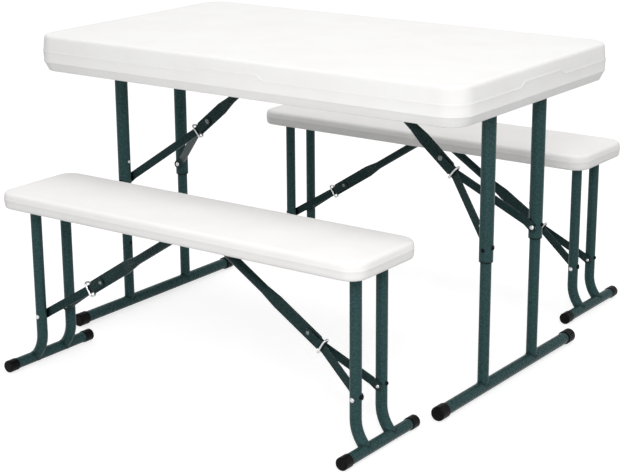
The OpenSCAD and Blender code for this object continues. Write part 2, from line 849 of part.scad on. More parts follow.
bench_stay_bracket(-1);  // front_bench_stay_bracket
bench_leg_frame(-1, -1);  // front_bench_left_leg_frame
bench_caps(-1, -1);  // front_bench_left_caps
bench_fork(-1, -1);  // front_bench_left_fork
bench_fork_rivets(-1, -1);  // front_bench_left_fork_rivets
bench_stay(-1, -1);  // front_bench_left_stay
bench_lock_ring(-1, -1);  // front_bench_left_lock_ring
bench_leg_frame(-1, 1);  // front_bench_right_leg_frame
bench_caps(-1, 1);  // front_bench_right_caps
bench_fork(-1, 1);  // front_bench_right_fork
bench_fork_rivets(-1, 1);  // front_bench_right_fork_rivets
bench_stay(-1, 1);  // front_bench_right_stay
bench_lock_ring(-1, 1);  // front_bench_right_lock_ring
bench_seat(1);  // rear_bench_seat
bench_hinge_saddles(1);  // rear_bench_hinge_saddles
bench_screws(1);  // rear_bench_screws
bench_stay_bracket(1);  // rear_bench_stay_bracket
bench_leg_frame(1, -1);  // rear_bench_left_leg_frame
bench_caps(1, -1);  // rear_bench_left_caps
bench_fork(1, -1);  // rear_bench_left_fork
bench_fork_rivets(1, -1);  // rear_bench_left_fork_rivets
bench_stay(1, -1);  // rear_bench_left_stay
bench_lock_ring(1, -1);  // rear_bench_left_lock_ring
bench_leg_frame(1, 1);  // rear_bench_right_leg_frame
bench_caps(1, 1);  // rear_bench_right_caps
bench_fork(1, 1);  // rear_bench_right_fork
bench_fork_rivets(1, 1);  // rear_bench_right_fork_rivets
bench_stay(1, 1);  // rear_bench_right_stay
bench_lock_ring(1, 1);  // rear_bench_right_lock_ring
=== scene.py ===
import json
import math
import bpy
from mathutils import Matrix, Vector


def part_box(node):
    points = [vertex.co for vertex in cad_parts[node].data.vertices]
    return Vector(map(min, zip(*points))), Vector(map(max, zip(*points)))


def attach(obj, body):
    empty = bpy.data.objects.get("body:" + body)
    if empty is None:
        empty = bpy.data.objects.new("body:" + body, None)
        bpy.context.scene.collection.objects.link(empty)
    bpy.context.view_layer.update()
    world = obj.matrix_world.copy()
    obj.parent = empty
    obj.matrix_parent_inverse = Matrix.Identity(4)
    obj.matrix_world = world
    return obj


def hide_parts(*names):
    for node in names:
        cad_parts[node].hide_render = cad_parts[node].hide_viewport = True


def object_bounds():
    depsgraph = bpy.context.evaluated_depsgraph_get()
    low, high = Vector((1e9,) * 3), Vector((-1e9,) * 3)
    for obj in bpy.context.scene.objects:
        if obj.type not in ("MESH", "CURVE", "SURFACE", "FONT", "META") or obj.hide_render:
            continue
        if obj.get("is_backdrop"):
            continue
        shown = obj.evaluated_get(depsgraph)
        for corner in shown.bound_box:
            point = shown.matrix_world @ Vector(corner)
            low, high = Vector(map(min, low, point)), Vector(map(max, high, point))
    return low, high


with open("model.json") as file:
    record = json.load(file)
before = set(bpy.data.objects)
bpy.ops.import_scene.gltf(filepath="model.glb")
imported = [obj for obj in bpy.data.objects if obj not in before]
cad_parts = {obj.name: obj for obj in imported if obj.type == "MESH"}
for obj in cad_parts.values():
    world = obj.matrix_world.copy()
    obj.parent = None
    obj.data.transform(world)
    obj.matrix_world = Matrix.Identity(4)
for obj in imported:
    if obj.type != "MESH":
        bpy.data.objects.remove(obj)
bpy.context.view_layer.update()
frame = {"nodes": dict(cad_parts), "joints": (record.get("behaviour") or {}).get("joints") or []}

# Table top: one blow-moulded shell of white polyethylene with a deep skirt.
# A fine pebble grain covers it, and the mould's two halves leave a thin flash line
# around the wall, stepped up in the middle of each side.
top_low, top_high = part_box("tabletop")
top_centre = (top_low + top_high) / 2
top_length = top_high.x - top_low.x
top_width = top_high.y - top_low.y
top_z = top_high.z
top_corner_radius = 0.058
flash_z = top_z - 0.039     # the flash line, where the mould's halves meet
flash_half = 0.0045         # half the height of the strip that steps up whole with it
roll_z = top_z - 0.0105     # the foot of the rounded upper edge
band_z = top_z - 0.060      # the top of the wall's lower part, which stays level
top_levels = [
    # the rounded upper edge
    (top_z, 0.0150), (top_z - 0.0002, 0.0126), (top_z - 0.0009, 0.0100), (top_z - 0.0023, 0.0077),
    (top_z - 0.0044, 0.0059), (top_z - 0.0075, 0.0048), (top_z - 0.0100, 0.0043),
    # the wall down to the flash line, which stands 1 to 2 mm out
    (flash_z + flash_half, 0.0020), (flash_z + 0.0026, 0.0019), (flash_z + 0.0006, 0.0002),
    (flash_z - 0.0002, 0.0001), (flash_z - 0.0006, 0.0011), (flash_z - 0.0040, 0.0013),
    # the bead above the lower band, and the band, which slopes in
    (band_z - 0.0012, 0.0020), (band_z - 0.0034, 0.0010), (band_z - 0.0044, 0.0011),
    (band_z - 0.0058, 0.0026), (band_z - 0.0080, 0.0038), (band_z - 0.0240, 0.0118),
    (band_z - 0.0262, 0.0132),
    # the rim below, and the inside up to the deck
    (top_low.z, 0.0155), (top_low.z, 0.0205), (top_low.z + 0.0012, 0.0230), (top_low.z + 0.0035, 0.0242),
    (top_z - 0.0290, 0.0272), (top_z - 0.0130, 0.0280),
]
step_rise = 0.011           # how far the flash line steps up in the middle of each side
step_half = 0.1             # half the stepped stretch, its ramps included
step_ramp = 0.022           # the length of each ramp
step_middle = -0.001        # the stretch's middle, along the side


def flash_step(place, z):
    """How far the wall's levels are lifted at a place along the side, most at the flash line."""
    share = min(1.0, max(0.0, (step_half - abs(place - step_middle)) / step_ramp))
    rise = step_rise * share * share * (3 - 2 * share)
    if z > flash_z:
        return rise * min(1.0, max(0.0, (roll_z - z) / (roll_z - flash_z - flash_half)))
    return rise * min(1.0, max(0.0, (z - band_z) / (flash_z - flash_half - band_z)))


def shell_outline(length, width, radius, step):
    """Points of a rounded rectangle, each with its outward normal and its place along the side."""
    corner_steps = 12
    sides = (((1, 0), (0, 1), length / 2, width / 2), ((0, 1), (-1, 0), width / 2, length / 2),
             ((-1, 0), (0, -1), length / 2, width / 2), ((0, -1), (1, 0), width / 2, length / 2))
    points = []
    for normal, along, reach, half in sides:
        normal = Vector(normal)
        along = Vector(along)
        flat = half - radius
        count = max(2, round(2 * flat / step))
        for i in range(count):
            place = -flat + 2 * flat * i / count
            points.append((normal * reach + along * place, normal, place))
        centre = normal * (reach - radius) + along * flat
        for i in range(corner_steps):
            turn = math.radians(90) * i / corner_steps
            out = normal * math.cos(turn) + along * math.sin(turn)
            points.append((centre + out * radius, out, flat + radius * turn))
    return points


def number_node(tree, operation, a, b=None, c=None):
    """A Math node, each input a number or a socket."""
    node = tree.nodes.new("ShaderNodeMath")
    node.operation = operation
    for i, value in enumerate((a, b, c)):
        if value is None:
            continue
        if isinstance(value, (int, float)):
            node.inputs[i].default_value = value
        else:
            tree.links.new(value, node.inputs[i])
    return node.outputs[0]


def noise_node(tree, place, scale, detail, rough=0.5):
    """A noise over the given place, from 0 to 1."""
    node = tree.nodes.new("ShaderNodeTexNoise")
    tree.links.new(place, node.inputs["Vector"])
    node.inputs["Scale"].default_value = scale
    node.inputs["Detail"].default_value = detail
    node.inputs["Roughness"].default_value = rough
    return node.outputs["Fac"]


def map_node(tree, value, low, high, to_low=0.0, to_high=1.0):
    """A value's range from low to high, stretched to another range and held at its ends."""
    node = tree.nodes.new("ShaderNodeMapRange")
    tree.links.new(value, node.inputs["Value"])
    node.inputs["From Min"].default_value = low
    node.inputs["From Max"].default_value = high
    node.inputs["To Min"].default_value = to_low
    node.inputs["To Max"].default_value = to_high
    return node.outputs["Result"]


def blend_node(tree, factor, a, b):
    """Colour a where the factor is 0 and colour b where it is 1."""
    node = tree.nodes.new("ShaderNodeMix")
    node.data_type = "RGBA"
    for socket, value in (("Factor_Float", factor), ("A_Color", a), ("B_Color", b)):
        target = next(s for s in node.inputs if s.identifier == socket)
        if isinstance(value, tuple):
            target.default_value = value
        else:
            tree.links.new(value, target)
    return next(s for s in node.outputs if s.identifier == "Result_Color")


def bump_node(tree, height, depth, strength=1.0):
    """The normal of a surface that a height makes uneven."""
    node = tree.nodes.new("ShaderNodeBump")
    node.inputs["Distance"].default_value = depth
    node.inputs["Strength"].default_value = strength
    tree.links.new(height, node.inputs["Height"])
    return node.outputs["Normal"]


def fresh_material(name):
    """A new material with its tree, its shader and the place on the object."""
    material = bpy.data.materials.new(name)
    material.use_nodes = True
    tree = material.node_tree
    place = tree.nodes.new("ShaderNodeTexCoord").outputs["Object"]
    return material, tree, tree.nodes["Principled BSDF"], place


# Mould grain: small pebbles as a height, and a slow unevenness as a mask
mould_grain = bpy.data.node_groups.new("Mould grain", "ShaderNodeTree")
mould_grain.interface.new_socket("Place", in_out="INPUT", socket_type="NodeSocketVector")
mould_grain.interface.new_socket("Pebble Scale", in_out="INPUT", socket_type="NodeSocketFloat")
mould_grain.interface.new_socket("Height", in_out="OUTPUT", socket_type="NodeSocketFloat")
mould_grain.interface.new_socket("Cloud", in_out="OUTPUT", socket_type="NodeSocketFloat")
grain_in = mould_grain.nodes.new("NodeGroupInput")
grain_out = mould_grain.nodes.new("NodeGroupOutput")
cells = mould_grain.nodes.new("ShaderNodeTexVoronoi")
cells.feature = "SMOOTH_F1"
mould_grain.links.new(grain_in.outputs["Place"], cells.inputs["Vector"])
mould_grain.links.new(grain_in.outputs["Pebble Scale"], cells.inputs["Scale"])
pebble = map_node(mould_grain, cells.outputs["Distance"], 0.0, 0.6, 1.0, 0.0)
slow = noise_node(mould_grain, grain_in.outputs["Place"], 9.0, 2.0)
fine = noise_node(mould_grain, grain_in.outputs["Place"], 420.0, 2.0)
height = number_node(mould_grain, "MULTIPLY_ADD", fine, 0.35, pebble)
mould_grain.links.new(height, grain_out.inputs["Height"])
mould_grain.links.new(slow, grain_out.inputs["Cloud"])


def grain_node(tree, place, pebble_scale):
    """The mould grain over the given place: a height and a cloud."""
    node = tree.nodes.new("ShaderNodeGroup")
    node.node_tree = mould_grain
    node.inputs["Pebble Scale"].default_value = pebble_scale
    tree.links.new(place, node.inputs["Place"])
    return node.outputs


def white_plastic(name, colour, shade, roughness, pebble_scale, pebble_depth):
    """White polyethylene: faintly clouded, and duller in the hollows of its grain."""
    material, tree, shader, place = fresh_material(name)
    grain = grain_node(tree, place, pebble_scale)
    cloud = map_node(tree, grain["Cloud"], 0.35, 0.7)
    tree.links.new(blend_node(tree, cloud, colour, shade), shader.inputs["Base Color"])
    dullness = map_node(tree, grain["Height"], 0.2, 1.3, roughness + 0.06, roughness - 0.05)
    tree.links.new(dullness, shader.inputs["Roughness"])
    tree.links.new(bump_node(tree, grain["Height"], pebble_depth, 0.5), shader.inputs["Normal"])
    shader.inputs["Specular IOR Level"].default_value = 0.06
    return material


top_plastic = white_plastic("White moulded top", (0.9, 0.898, 0.89, 1), (0.882, 0.874, 0.866, 1),
                            0.64, 520.0, 0.0003)


def moulded_shell(name, centre, outline, levels, material, lift=None):
    """A closed shell through rings of the outline: each level is a height and how far it is drawn in."""
    vertices, faces = [], []
    count = len(outline)
    for z, inset in levels:
        for point, out, place in outline:
            rise = lift(place, z) if lift else 0.0
            x = centre.x + point.x - out.x * inset
            y = centre.y + point.y - out.y * inset
            vertices.append((x, y, z + rise))
    for ring in range(len(levels) - 1):
        start = ring * count
        below = start + count
        for i in range(count):
            j = (i + 1) % count
            faces.append((start + i, below + i, below + j, start + j))
    faces.append(tuple(range(count)))
    faces.append(tuple(reversed(range((len(levels) - 1) * count, len(levels) * count))))
    mesh = bpy.data.meshes.new(name)
    mesh.from_pydata(vertices, [], faces)
    mesh.materials.append(material)
    mesh.shade_smooth()
    mesh.set_sharp_from_angle(angle=math.radians(50))
    mesh.update()
    shell = bpy.data.objects.new(name, mesh)
    bpy.context.scene.collection.objects.link(shell)
    return shell


top_outline = shell_outline(top_length, top_width, top_corner_radius, 0.006)
table_top = moulded_shell("table_top_shell", top_centre, top_outline, top_levels, top_plastic, flash_step)
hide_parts("tabletop")
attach(table_top, "table_top")

# Deck underside of the table: the lower skin of the shell, drawn up into rows of round dishes
# where it is welded to the upper skin, so that the hollow deck stays flat under load.
def tree_input(tree, name, kind, value):
    """A named input of a node tree, with what it holds when nothing is set."""
    socket = tree.interface.new_socket(name, in_out="INPUT", socket_type=kind)
    if value is not None:
        socket.default_value = value


def joined(tree, kind, links=None, **settings):
    """A node with its inputs set, each a value or a socket."""
    node = tree.nodes.new(kind)
    for key, value in settings.items():
        setattr(node, key, value)
    for key, value in (links or {}).items():
        socket = node.inputs[key]
        if isinstance(value, bpy.types.NodeSocket):
            tree.links.new(value, socket)
        else:
            socket.default_value = value
    return node


def plain_mesh(tree, geometry, finish):
    """The end of a geometry tree: real faces in one material."""
    whole = joined(tree, "GeometryNodeRealizeInstances", {0: geometry})
    finished = joined(tree, "GeometryNodeSetMaterial", {"Geometry": whole.outputs[0], "Material": finish})
    tree.links.new(finished.outputs[0], tree.nodes.new("NodeGroupOutput").inputs[0])


dished_skin = bpy.data.node_groups.new("Dished skin", "GeometryNodeTree")
tree_input(dished_skin, "Length", "NodeSocketFloat", 1.0)
tree_input(dished_skin, "Width", "NodeSocketFloat", 0.5)
tree_input(dished_skin, "Thickness", "NodeSocketFloat", 0.01)
tree_input(dished_skin, "Pitch", "NodeSocketFloat", 0.062)
tree_input(dished_skin, "Dish Radius", "NodeSocketFloat", 0.014)
tree_input(dished_skin, "Dish Depth", "NodeSocketFloat", 0.009)
tree_input(dished_skin, "Centre", "NodeSocketVector", (0.0, 0.0, 0.0))
tree_input(dished_skin, "Finish", "NodeSocketMaterial", None)
dished_skin.interface.new_socket("Geometry", in_out="OUTPUT", socket_type="NodeSocketGeometry")
skin_in = dished_skin.nodes.new("NodeGroupInput").outputs

# A plate of small squares, as long and wide as the skin
mesh_step = 0.0062
plate_size = joined(dished_skin, "ShaderNodeCombineXYZ",
                    {0: skin_in["Length"], 1: skin_in["Width"], 2: skin_in["Thickness"]}).outputs[0]
count_x = number_node(dished_skin, "DIVIDE", skin_in["Length"], mesh_step)
count_y = number_node(dished_skin, "DIVIDE", skin_in["Width"], mesh_step)
plate = joined(dished_skin, "GeometryNodeMeshCube",
               {"Size": plate_size, "Vertices X": count_x, "Vertices Y": count_y, "Vertices Z": 2})

# Each point's distance from the nearest dish's centre, with every second row set off by half a pitch
position = joined(dished_skin, "GeometryNodeInputPosition").outputs[0]
spot = joined(dished_skin, "ShaderNodeSeparateXYZ", {0: position}).outputs
half_pitch = number_node(dished_skin, "MULTIPLY", skin_in["Pitch"], 0.5)
minus_half = number_node(dished_skin, "MULTIPLY", half_pitch, -1.0)
row_place = number_node(dished_skin, "DIVIDE", spot[1], skin_in["Pitch"])
row_number = number_node(dished_skin, "ROUND", row_place)
row_shift = number_node(dished_skin, "MULTIPLY_ADD", row_number, half_pitch, spot[0])
from_x = number_node(dished_skin, "WRAP", row_shift, half_pitch, minus_half)
from_y = number_node(dished_skin, "WRAP", spot[1], half_pitch, minus_half)
from_centre = joined(dished_skin, "ShaderNodeCombineXYZ", {0: from_x, 1: from_y}).outputs[0]
reach = joined(dished_skin, "ShaderNodeVectorMath", {0: from_centre}, operation="LENGTH").outputs["Value"]

# A dish has a flat floor and a soft slope, and the ones that would cut the skin's edge are left out
floor_share = 0.45
edge_room = 1.5
floor_radius = number_node(dished_skin, "MULTIPLY", skin_in["Dish Radius"], floor_share)
dish = joined(dished_skin, "ShaderNodeMapRange",
              {"Value": reach, "From Min": floor_radius, "From Max": skin_in["Dish Radius"],
               "To Min": skin_in["Dish Depth"], "To Max": 0.0}, interpolation_type="SMOOTHSTEP").outputs[0]
rim = number_node(dished_skin, "MULTIPLY", skin_in["Dish Radius"], -edge_room)
for along, offset, span in ((spot[0], from_x, "Length"), (spot[1], from_y, "Width")):
    middle = number_node(dished_skin, "ABSOLUTE", number_node(dished_skin, "SUBTRACT", along, offset))
    limit = number_node(dished_skin, "MULTIPLY_ADD", skin_in[span], 0.5, rim)
    inside = number_node(dished_skin, "LESS_THAN", middle, limit)
    dish = number_node(dished_skin, "MULTIPLY", dish, inside)
under = number_node(dished_skin, "LESS_THAN", spot[2], 0.0)
move = joined(dished_skin, "ShaderNodeCombineXYZ", {2: dish}).outputs[0]
dished = joined(dished_skin, "GeometryNodeSetPosition",
                {"Geometry": plate.outputs["Mesh"], "Selection": under, "Offset": move})
smooth = joined(dished_skin, "GeometryNodeSetShadeSmooth", {0: dished.outputs[0]})
placed = joined(dished_skin, "GeometryNodeTransform",
                {"Geometry": smooth.outputs[0], "Translation": skin_in["Centre"]})
plain_mesh(dished_skin, placed.outputs[0], skin_in["Finish"])


def grown(name, tree, values, base=None):
    """A plain mesh made by a node tree from its named inputs."""
    seed = bpy.data.objects.new(name + "_seed", base or bpy.data.meshes.new(name + "_seed"))
    bpy.context.scene.collection.objects.link(seed)
    modifier = seed.modifiers.new("Grow", "NODES")
    modifier.node_group = tree
    for item in tree.interface.items_tree:
        if item.in_out == "INPUT" and item.name in values:
            modifier[item.identifier] = values[item.name]
    bpy.context.view_layer.update()
    evaluated = seed.evaluated_get(bpy.context.evaluated_depsgraph_get())
    mesh = bpy.data.meshes.new_from_object(evaluated)
    mesh.name = name
    seed.modifiers.remove(modifier)
    bpy.data.objects.remove(seed)
    piece = bpy.data.objects.new(name, mesh)
    bpy.context.scene.collection.objects.link(piece)
    return piece


top_skin_thickness = 0.0105
top_skin_gap = 0.0535       # the two walls that the skin fits between
top_skin_drop = 0.022
top_skin_z = top_z - top_skin_drop + top_skin_thickness / 2
top_skin = grown("table_top_lower_skin", dished_skin, {
    "Length": top_length - top_skin_gap, "Width": top_width - top_skin_gap, "Thickness": top_skin_thickness,
    "Pitch": 0.064, "Dish Radius": 0.0165, "Dish Depth": 0.0092,
    "Centre": (top_centre.x, top_centre.y, top_skin_z), "Finish": top_plastic})
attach(top_skin, "table_top")

# Bench seats: shallow blow-moulded shells of the same white polyethylene, with soft
# rounded edges and a finer grain. Each has its own dished lower skin.
seat_plastic = white_plastic("White moulded seat", (0.9, 0.892, 0.884, 1), (0.88, 0.868, 0.86, 1),
                             0.66, 600.0, 0.00026)
seat_corner_radius = 0.042
seat_skin_gap = 0.0275
seat_skin_drop = 0.0075
for bench in ("front_bench", "rear_bench"):
    low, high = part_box(bench + "_seat")
    centre = (low + high) / 2
    z = high.z
    seat_flash = z - 0.0175
    seat_levels = [
        # the rounded upper edge
        (z, 0.0125), (z - 0.0003, 0.0098), (z - 0.0011, 0.0072), (z - 0.0025, 0.0048),
        (z - 0.0047, 0.0028), (z - 0.0078, 0.0015), (z - 0.0120, 0.0007),
        # the flash line, and the wall that rounds in below it
        (seat_flash + 0.0010, 0.0003), (seat_flash + 0.0004, 0.0), (seat_flash - 0.0004, 0.0),
        (seat_flash - 0.0010, 0.0003), (z - 0.0270, 0.0007), (z - 0.0330, 0.0014), (z - 0.0368, 0.0030),
        (z - 0.0381, 0.0050),
        # the rim below, and the inside up to the deck
        (low.z, 0.0072), (low.z, 0.0100), (low.z + 0.0010, 0.0120), (low.z + 0.0030, 0.0129),
        (z - 0.0150, 0.0140), (z - 0.0045, 0.0142),
    ]
    length = high.x - low.x
    width = high.y - low.y
    outline = shell_outline(length, width, seat_corner_radius, 0.02)
    seat = moulded_shell(bench + "_seat_shell", centre, outline, seat_levels, seat_plastic)
    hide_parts(bench + "_seat")
    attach(seat, bench)
    skin = grown(bench + "_lower_skin", dished_skin, {
        "Length": length - seat_skin_gap, "Width": width - seat_skin_gap, "Thickness": 0.005,
        "Pitch": 0.052, "Dish Radius": 0.0135, "Dish Depth": 0.0038,
        "Centre": (centre.x, centre.y, z - seat_skin_drop), "Finish": seat_plastic})
    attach(skin, bench)

# Steel frames and braces: welded round tube and riveted flat bar in a dark green hammered
# paint, rubbed thin and grey along the edges, with painted shade darkening it in the corners.
edge_wear = bpy.data.node_groups.new("Edge wear", "ShaderNodeTree")
edge_wear.interface.new_socket("Width", in_out="INPUT", socket_type="NodeSocketFloat")
edge_wear.interface.new_socket("Amount", in_out="INPUT", socket_type="NodeSocketFloat")
edge_wear.interface.new_socket("Place", in_out="INPUT", socket_type="NodeSocketVector")
edge_wear.interface.new_socket("Mask", in_out="OUTPUT", socket_type="NodeSocketFloat")
wear_in = edge_wear.nodes.new("NodeGroupInput")
wear_out = edge_wear.nodes.new("NodeGroupOutput")
rounded = edge_wear.nodes.new("ShaderNodeBevel")
rounded.samples = 4
edge_wear.links.new(wear_in.outputs["Width"], rounded.inputs["Radius"])
flat_normal = edge_wear.nodes.new("ShaderNodeNewGeometry").outputs["Normal"]
turn = edge_wear.nodes.new("ShaderNodeVectorMath")
turn.operation = "DOT_PRODUCT"
edge_wear.links.new(rounded.outputs["Normal"], turn.inputs[0])
edge_wear.links.new(flat_normal, turn.inputs[1])
edge = map_node(edge_wear, turn.outputs["Value"], 0.97, 0.75)
patches = map_node(edge_wear, noise_node(edge_wear, wear_in.outputs["Place"], 140.0, 4.0, 0.6), 0.45, 0.7)
worn = number_node(edge_wear, "MULTIPLY", edge, patches)
worn = number_node(edge_wear, "MULTIPLY", worn, wear_in.outputs["Amount"])
edge_wear.links.new(worn, wear_out.inputs["Mask"])


def hammered_paint(name, dark, light, bare, wear):
    """Hammered paint: flecked from dark to light, with painted shade darkest in the corners, worn bare at
    the edges.
    """
    # painted shade: the near-black colour that corners and meeting parts are darkened to
    painted_shade_colour = (0.0015, 0.003, 0.003, 1)
    material, tree, shader, place = fresh_material(name)
    worn_edge = tree.nodes.new("ShaderNodeGroup")
    worn_edge.node_tree = edge_wear
    worn_edge.inputs["Width"].default_value = 0.0012
    worn_edge.inputs["Amount"].default_value = wear
    tree.links.new(place, worn_edge.inputs["Place"])
    flecks = map_node(tree, noise_node(tree, place, 210.0, 4.0, 0.6), 0.3, 0.75)
    # Painted shade: ambient occlusion darkens the paint in corners and where parts meet
    corner = tree.nodes.new("ShaderNodeAmbientOcclusion")
    corner.samples = 6
    corner.inputs["Distance"].default_value = 0.008
    painted_corner_shade = map_node(tree, corner.outputs["AO"], 0.9, 0.45)
    painted = blend_node(tree, painted_corner_shade, blend_node(tree, flecks, dark, light), painted_shade_colour)
    tree.links.new(blend_node(tree, worn_edge.outputs["Mask"], painted, bare), shader.inputs["Base Color"])
    tree.links.new(map_node(tree, flecks, 0.0, 1.0, 0.24, 0.32), shader.inputs["Roughness"])
    hammered = tree.nodes.new("ShaderNodeTexVoronoi")
    hammered.feature = "SMOOTH_F1"
    hammered.inputs["Scale"].default_value = 330.0
    tree.links.new(place, hammered.inputs["Vector"])
    tree.links.new(bump_node(tree, hammered.outputs["Distance"], 0.0003, 0.2), shader.inputs["Normal"])
    shader.inputs["Specular IOR Level"].default_value = 0.07
    shader.inputs["Metallic"].default_value = 0.1
    return material


def finish_nodes(endings, material):
    """Give one material to the CAD pieces whose names end so."""
    for name, part in frame["nodes"].items():
        if name.endswith(endings):
            part.data.materials.clear()
            part.data.materials.append(material)


frame_paint = hammered_paint("Green hammered paint", (0.021, 0.054, 0.055, 1), (0.037, 0.08, 0.082, 1),
                             (0.2, 0.21, 0.21, 1), 0.8)
finish_nodes(("leg_frame", "_foot", "hinge_saddles"), frame_paint)

# The braces and their brackets get a darker copy of the frame paint, painted shade for the shadow they sit
# in under the top and seats, and are rubbed more along their edges
shaded_strap_paint = hammered_paint("Strap paint with painted shade", (0.01, 0.026, 0.026, 1), (0.022, 0.046, 0.047, 1),
                             (0.3, 0.31, 0.31, 1), 1.2)
finish_nodes(("_fork", "_stay", "stay_brackets", "stay_bracket"), shaded_strap_paint)

# Weld beads: where each leg tube meets its foot bar, a bead of overlapping ripples
# runs around the joint and is painted with the frame.
weld_bead = bpy.data.node_groups.new("Weld bead", "GeometryNodeTree")
tree_input(weld_bead, "Joints", "NodeSocketGeometry", None)
tree_input(weld_bead, "Tube Radius", "NodeSocketFloat", 0.0127)
tree_input(weld_bead, "Bar Radius", "NodeSocketFloat", 0.014)
tree_input(weld_bead, "Ripple Size", "NodeSocketFloat", 0.002)
tree_input(weld_bead, "Ripples", "NodeSocketInt", 36)
tree_input(weld_bead, "Lean", "NodeSocketFloat", 0.0)
tree_input(weld_bead, "Finish", "NodeSocketMaterial", None)
weld_bead.interface.new_socket("Geometry", in_out="OUTPUT", socket_type="NodeSocketGeometry")
bead_in = weld_bead.nodes.new("NodeGroupInput").outputs
ring = joined(weld_bead, "GeometryNodeMeshCircle",
              {"Vertices": bead_in["Ripples"], "Radius": bead_in["Tube Radius"]})
ring_position = joined(weld_bead, "GeometryNodeInputPosition").outputs[0]
ring_spot = joined(weld_bead, "ShaderNodeSeparateXYZ", {0: ring_position}).outputs
across = number_node(weld_bead, "MULTIPLY", ring_spot[0], ring_spot[0])
bar_square = number_node(weld_bead, "MULTIPLY", bead_in["Bar Radius"], bead_in["Bar Radius"])
rise_square = number_node(weld_bead, "SUBTRACT", bar_square, across)
rise = number_node(weld_bead, "SQRT", number_node(weld_bead, "MAXIMUM", rise_square, 0.0))
on_bar = joined(weld_bead, "ShaderNodeCombineXYZ", {0: ring_spot[0], 1: ring_spot[1], 2: rise}).outputs[0]
path = joined(weld_bead, "GeometryNodeSetPosition", {"Geometry": ring.outputs[0], "Position": on_bar})
ripple = joined(weld_bead, "GeometryNodeMeshIcoSphere",
                {"Radius": bead_in["Ripple Size"], "Subdivisions": 2})
soft = joined(weld_bead, "GeometryNodeSetShadeSmooth", {0: ripple.outputs["Mesh"]})
ripples = joined(weld_bead, "GeometryNodeInstanceOnPoints",
                 {"Points": path.outputs[0], "Instance": soft.outputs[0]})
tilt = joined(weld_bead, "ShaderNodeCombineXYZ", {1: bead_in["Lean"]}).outputs[0]
beads = joined(weld_bead, "GeometryNodeInstanceOnPoints",
               {"Points": bead_in["Joints"], "Instance": ripples.outputs[0], "Rotation": tilt})
plain_mesh(weld_bead, beads.outputs[0], bead_in["Finish"])


def at_legs(name, x, y, z, reach):
    """Two loose points, one at each leg of a frame, for a tree to place things on."""
    mesh = bpy.data.meshes.new(name)
    mesh.from_pydata([(x, y - reach, z), (x, y + reach, z)], [], [])
    return mesh


table_bar_radius = 0.014
table_weld_sink = 0.0002    # how deep the table's beads sit in the bar
table_leg_reach = 0.112     # from the middle of a leg frame to each of its legs
bench_bar_radius = 0.0127
bench_leg_reach = 0.0475
bench_leg_lean = math.radians(36)
for side, out in (("left", -1), ("right", 1)):
    low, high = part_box(side + "_foot")
    x = (low.x + high.x) / 2
    z = low.z + table_bar_radius
    joints = at_legs(side + "_foot_joints", x, top_centre.y, z, table_leg_reach)
    bead = grown(side + "_foot_welds", weld_bead,
                 {"Tube Radius": 0.0132, "Bar Radius": table_bar_radius - table_weld_sink,
                  "Ripple Size": 0.0017, "Ripples": 40, "Finish": frame_paint}, joints)
    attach(bead, side + "_foot")
    for bench in ("front_bench", "rear_bench"):
        low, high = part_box(f"{bench}_{side}_leg_frame")
        x = high.x - bench_bar_radius if out > 0 else low.x + bench_bar_radius
        y = (low.y + high.y) / 2
        z = low.z + bench_bar_radius
        joints = at_legs(f"{bench}_{side}_foot_joints", x, y, z, bench_leg_reach)
        bead = grown(f"{bench}_{side}_foot_welds", weld_bead,
                     {"Tube Radius": 0.0130, "Bar Radius": bench_bar_radius, "Ripple Size": 0.0016,
                      "Ripples": 40, "Lean": -out * bench_leg_lean, "Finish": frame_paint}, joints)
        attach(bead, f"{bench}_{side}_legs")

# Small steel parts: lock rings of bent wire, rivets, screws, stay pins and snap buttons.
# They are zinc plated, and fitted to the painted frames.
zinc_plate, zinc_tree, zinc_shader, zinc_place = fresh_material("Zinc plating")
spangle = noise_node(zinc_tree, zinc_place, 380.0, 4.0, 0.6)
bright = map_node(zinc_tree, spangle, 0.35, 0.7)
zinc_colour = blend_node(zinc_tree, bright, (0.5, 0.51, 0.53, 1), (0.8, 0.8, 0.79, 1))
zinc_tree.links.new(zinc_colour, zinc_shader.inputs["Base Color"])
zinc_tree.links.new(map_node(zinc_tree, spangle, 0.3, 0.7, 0.22, 0.4), zinc_shader.inputs["Roughness"])
zinc_tree.links.new(bump_node(zinc_tree, spangle, 0.00006), zinc_shader.inputs["Normal"])
zinc_shader.inputs["Metallic"].default_value = 1.0
finish_nodes(("lock_ring", "fork_rivets", "screws", "stay_pins", "snap_button"), zinc_plate)

# Middle rivets of the braces: the stay and the two straps turn on each of them. Their
# heads are painted like the straps, and rubbed down to a paler grey.
rubbed_paint = hammered_paint("Rubbed rivet paint", (0.16, 0.18, 0.18, 1), (0.36, 0.38, 0.38, 1),
                              (0.5, 0.51, 0.51, 1), 0.9)
joint_places = {joint["name"]: joint["pos_m"] for joint in frame["joints"] if "pos_m" in joint}
knee_reach = 0.02           # how far around a middle rivet its faces lie
for name, part in frame["nodes"].items():
    if name.endswith("fork_rivets"):
        part.data.materials.append(rubbed_paint)
        knee_x = joint_places[name.replace("fork_rivets", "fork_swing")][0]
        for face in part.data.polygons:
            face.material_index = int(abs((part.matrix_world @ face.center).x - knee_x) < knee_reach)

